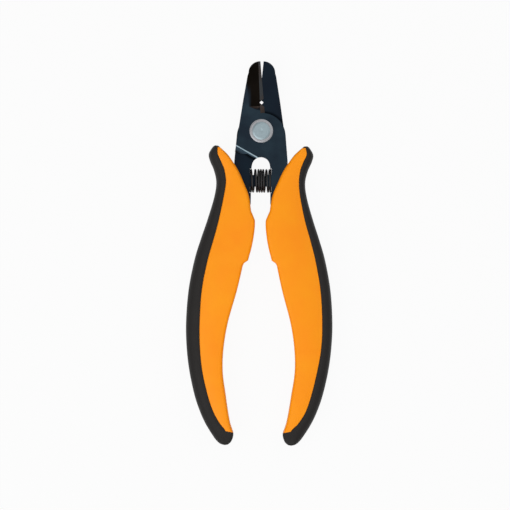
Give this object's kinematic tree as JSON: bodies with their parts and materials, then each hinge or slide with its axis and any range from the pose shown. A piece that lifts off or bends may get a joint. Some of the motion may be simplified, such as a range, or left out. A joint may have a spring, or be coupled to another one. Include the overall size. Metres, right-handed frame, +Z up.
{
  "type": "fibre stripper",
  "caption": "Plier-style stripping tool: two lapped steel blades on a rivet, a return spring between their tangs, and two-shot handles.",
  "frame": {"origin": "centre of the footprint, on the face it rests on", "axes": "+X across the tool to the right-hand handle, +Y along the tool from the handle ends to the jaw tips, +Z up from the face it rests on"},
  "size_m": [0.0554, 0.145, 0.011],
  "materials": {
    "blued_steel": "dark blue-black oxide on ground steel",
    "rivet_steel": "bright turned steel",
    "washer_steel": "bright turned steel",
    "spring_steel": "black oxide on spring wire",
    "orange_plastic": "satin orange moulded plastic",
    "black_grip": "matt black soft moulding"
  },
  "bodies": {
    "front_half": {"front_blade": "blued_steel", "pivot_rivet": "rivet_steel", "front_washer": "washer_steel", "rear_washer": "washer_steel", "return_spring": "spring_steel", "right_core": "orange_plastic", "right_grip": "black_grip"},
    "rear_half": {"rear_blade": "blued_steel", "left_core": "orange_plastic", "left_grip": "black_grip"}
  },
  "joints": [
    {"name": "pivot", "type": "hinge", "parent": "front_half", "child": "rear_half", "pos_m": [0, 0.0461, 0.0055], "axis": [0, 0, 1], "range_deg": [0, 6.2], "stiffness_Nm_per_rad": 0.2, "springref_deg": -5.73, "deforming": ["return_spring"]}
  ]
}
